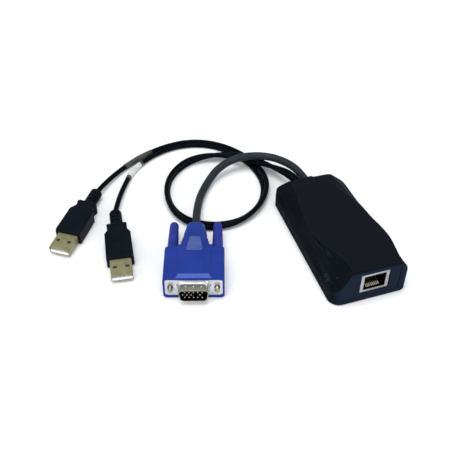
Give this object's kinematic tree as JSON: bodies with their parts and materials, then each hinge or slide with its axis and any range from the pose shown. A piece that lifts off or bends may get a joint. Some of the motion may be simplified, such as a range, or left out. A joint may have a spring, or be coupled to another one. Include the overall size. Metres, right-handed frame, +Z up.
{
  "type": "kvm dongle",
  "caption": "Network-to-console adapter: crowned plastic housing with a network jack, and a video plug with thumbscrews and USB plugs on loose cables.",
  "frame": {"origin": "under the middle of the housing, on the surface that it lies on", "axes": "+Z up, -Y towards the network jack, +Y towards the cables, +X to the right seen from the jack's end"},
  "size_m": [0.18, 0.1615, 0.0229],
  "materials": {
    "case_black": "fine satin moulded plastic",
    "mould_black": "satin soft moulded plastic",
    "cable_black": "satin cable jacket",
    "hood_blue": "satin moulded plastic",
    "shell_steel": "bright nickel plate",
    "usb_steel": "bright nickel plate with a warm tone",
    "screw_steel": "plated steel",
    "part_black": "plain moulded",
    "part_white": "plain moulded",
    "contact_gold": "gold plate",
    "board_green": "lacquered board",
    "sleeve_clear": "dull clear film",
    "label_white": "laminated white wrap"
  },
  "bodies": {
    "dongle": {"top_cover": "case_black", "bottom_cover": "case_black", "case_screws": "screw_steel", "circuit_board": "board_green", "processor_chip": "part_black", "video_chip": "part_black", "crystal": "shell_steel", "cable_header": "part_white", "cable_tails": "cable_black", "jack_shield": "shell_steel", "jack_body": "part_black", "jack_contacts": "contact_gold", "cable_grommet": "mould_black", "vga_cable": "cable_black", "vga_hood": "hood_blue", "vga_shell": "shell_steel", "vga_insulator": "part_black", "vga_pins": "shell_steel", "usb_cable_left": "cable_black", "usb_cable_right": "cable_black", "usb_overmould_left": "mould_black", "usb_overmould_right": "mould_black", "usb_shell_left": "usb_steel", "usb_shell_right": "usb_steel", "usb_insulator_left": "part_white", "usb_insulator_right": "part_white", "usb_contacts_left": "contact_gold", "usb_contacts_right": "contact_gold", "wrap_label_left": "sleeve_clear", "wrap_label_right": "label_white"},
    "left_thumbscrew": {"thumbscrew_knob_left": "hood_blue", "thumbscrew_rod_left": "screw_steel"},
    "right_thumbscrew": {"thumbscrew_knob_right": "hood_blue", "thumbscrew_rod_right": "screw_steel"}
  },
  "joints": [
    {"name": "left_thumbscrew_turn", "type": "hinge", "parent": "dongle", "child": "left_thumbscrew", "pos_m": [-0.10111, -0.0105, 0.0075], "axis": [0.304, 0.9527, 0], "continuous": true},
    {"name": "right_thumbscrew_turn", "type": "hinge", "parent": "dongle", "child": "right_thumbscrew", "pos_m": [-0.07729, -0.0181, 0.0075], "axis": [0.304, 0.9527, 0], "continuous": true}
  ]
}
